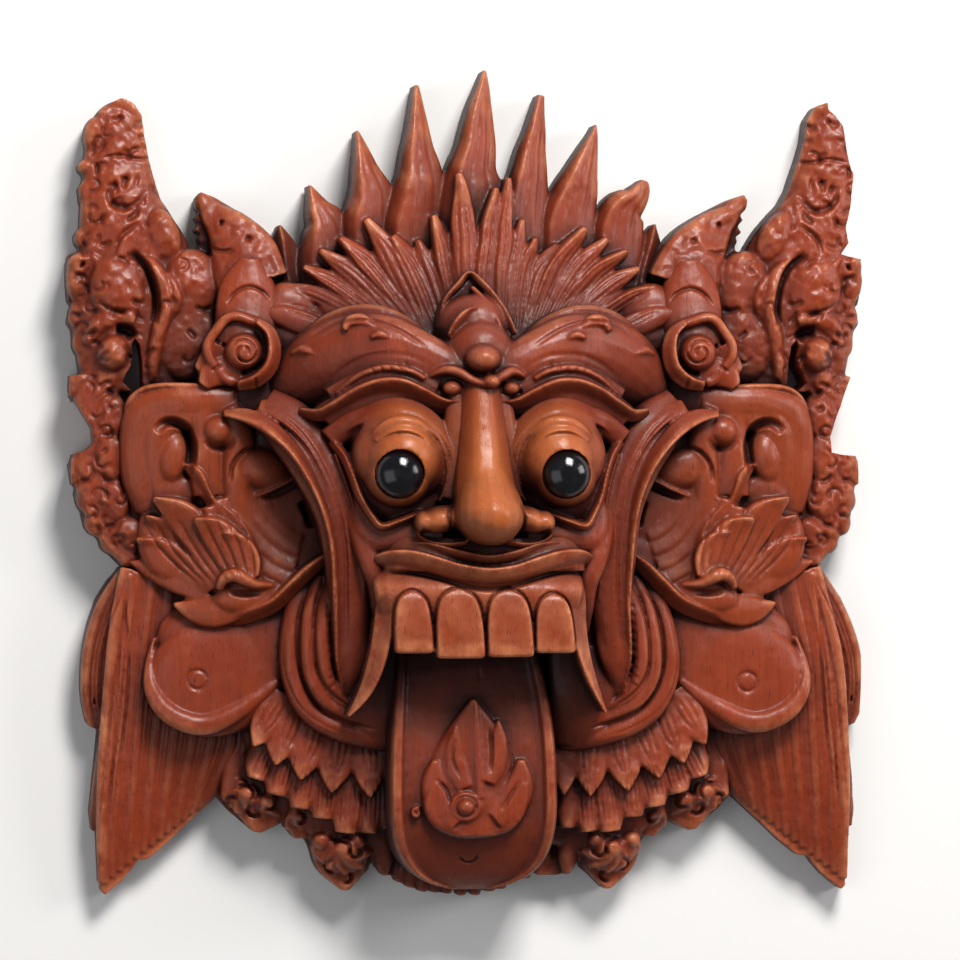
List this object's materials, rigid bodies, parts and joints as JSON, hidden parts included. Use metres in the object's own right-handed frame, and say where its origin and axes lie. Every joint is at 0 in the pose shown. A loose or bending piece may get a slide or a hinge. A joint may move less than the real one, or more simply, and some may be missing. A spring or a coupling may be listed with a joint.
{
  "type": "barong mask",
  "caption": "Carved wooden demon mask with spiked crown, bulging eyes, broad teeth, long tongue, cupped ears, tall ear plates and side wings of hair, flat at the back.",
  "frame": {"origin": "middle of the flat back, under the centre of the outline", "axes": "+Z out of the face, +Y towards the crown, +X to the right of a viewer who looks at the face"},
  "size_m": [0.386, 0.401, 0.1183],
  "materials": {
    "stained_wood": "reddish-brown stained and polished hardwood, darker in the recesses",
    "black_bead": "glossy black bead"
  },
  "bodies": {
    "root": {"mask": "stained_wood", "eye_bead_left": "black_bead", "eye_bead_right": "black_bead"}
  },
  "joints": []
}
